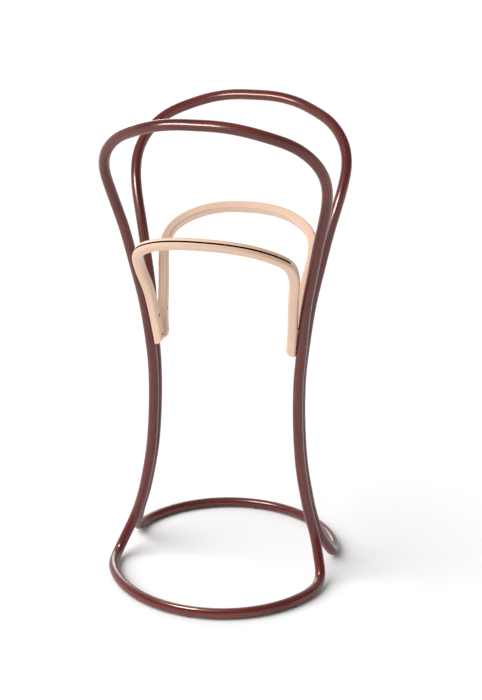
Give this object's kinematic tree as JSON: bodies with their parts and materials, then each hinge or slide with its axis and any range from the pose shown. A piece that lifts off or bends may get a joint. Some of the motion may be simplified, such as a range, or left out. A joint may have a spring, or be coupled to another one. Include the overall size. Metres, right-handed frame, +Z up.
{
  "type": "valet stand",
  "caption": "Free-standing bentwood valet stand: two back-to-back loops of round rod that part at the top and the base, with a pale trouser bar bent into an arch inside each hoop.",
  "frame": {"origin": "on the floor, in the middle of the base", "axes": "+X to the stand's right seen from the front, +Y to the back, +Z up"},
  "size_m": [0.5232, 0.602, 1.1],
  "materials": {
    "stained_wood": "semi-gloss, dark red-brown stained bentwood",
    "pale_wood": "satin, natural pale beech",
    "dowel_wood": "raw beech",
    "grip_strip": "matte, dark brown",
    "dark_screw": "black zinc, satin",
    "glide": "matte, dark brown"
  },
  "bodies": {
    "root": {"front_upper_hoop": "stained_wood", "rear_upper_hoop": "stained_wood", "front_base_bow": "stained_wood", "rear_base_bow": "stained_wood", "front_leg_dowels": "dowel_wood", "rear_leg_dowels": "dowel_wood", "hoop_leg_screws": "dark_screw", "bow_leg_screws": "dark_screw", "hoop_screw_plugs": "stained_wood", "bow_screw_plugs": "stained_wood", "front_trouser_bar": "pale_wood", "rear_trouser_bar": "pale_wood", "front_grip_strip": "grip_strip", "rear_grip_strip": "grip_strip", "front_bar_screws": "dark_screw", "rear_bar_screws": "dark_screw", "front_glides": "glide", "rear_glides": "glide"}
  },
  "joints": []
}
